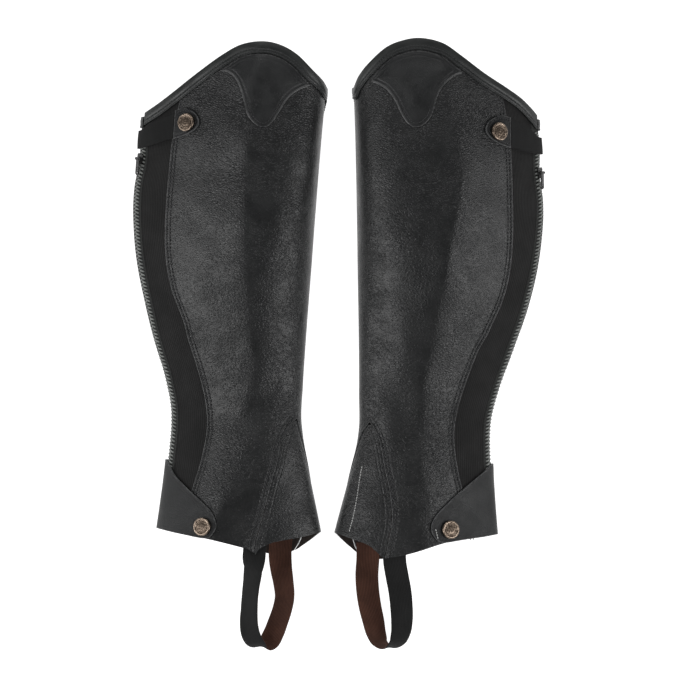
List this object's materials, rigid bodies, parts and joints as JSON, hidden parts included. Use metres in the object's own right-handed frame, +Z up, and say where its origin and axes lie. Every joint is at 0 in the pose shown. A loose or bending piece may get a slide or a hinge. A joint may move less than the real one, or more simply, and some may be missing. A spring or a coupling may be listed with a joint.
{
  "type": "pair of half chaps",
  "caption": "Riding half chaps lying on their inner sides: hollow leather leg tubes with a stretch gore, rear zip, bound knee edge, snap straps and elastic foot straps.",
  "frame": {"origin": "centre of the bounding box on the resting surface", "axes": "+Y along the legs towards the knee ends, +X from the left chap to the right one, +Z up from the resting surface"},
  "size_m": [0.352, 0.522, 0.0669],
  "materials": {
    "leather": "black pebbled grain leather, satin",
    "patch": "black pebbled grain leather, padded look",
    "binding": "smooth black leather binding, satin",
    "gore": "matte black ribbed stretch elastic",
    "elastic": "black woven elastic, brown on its inner face",
    "tape": "black woven zip tape",
    "coil": "black nylon coil",
    "slider": "black enamelled die-cast metal",
    "snap_brass": "antique brass"
  },
  "bodies": {
    "chaps": {"left_main_leather": "leather", "left_instep_gusset": "leather", "left_stretch_gore": "gore", "left_zip_tape_outer": "tape", "left_zip_tape_inner": "tape", "left_zip_coil": "coil", "left_top_binding": "binding", "left_knee_patch": "patch", "left_calf_elastic": "elastic", "left_calf_tab": "leather", "left_calf_snap": "snap_brass", "left_ankle_strap": "leather", "left_ankle_snap": "snap_brass", "left_foot_strap": "elastic", "left_zip_slider": "slider", "right_main_leather": "leather", "right_instep_gusset": "leather", "right_stretch_gore": "gore", "right_zip_tape_outer": "tape", "right_zip_tape_inner": "tape", "right_zip_coil": "coil", "right_top_binding": "binding", "right_knee_patch": "patch", "right_calf_elastic": "elastic", "right_calf_tab": "leather", "right_calf_snap": "snap_brass", "right_ankle_strap": "leather", "right_ankle_snap": "snap_brass", "right_foot_strap": "elastic", "right_zip_slider": "slider"},
    "left_pull": {"left_zip_pull": "slider"},
    "right_pull": {"right_zip_pull": "slider"}
  },
  "joints": [
    {"name": "left_pull_hinge", "type": "hinge", "parent": "chaps", "child": "left_pull", "pos_m": [-0.17163, 0.15915, 0.01767], "axis": [-0.6511, 0.1766, -0.7381], "range_deg": [0, 120]},
    {"name": "right_pull_hinge", "type": "hinge", "parent": "chaps", "child": "right_pull", "pos_m": [0.17341, 0.14702, 0.01722], "axis": [-0.544, -0.1474, 0.826], "range_deg": [0, 120]}
  ]
}
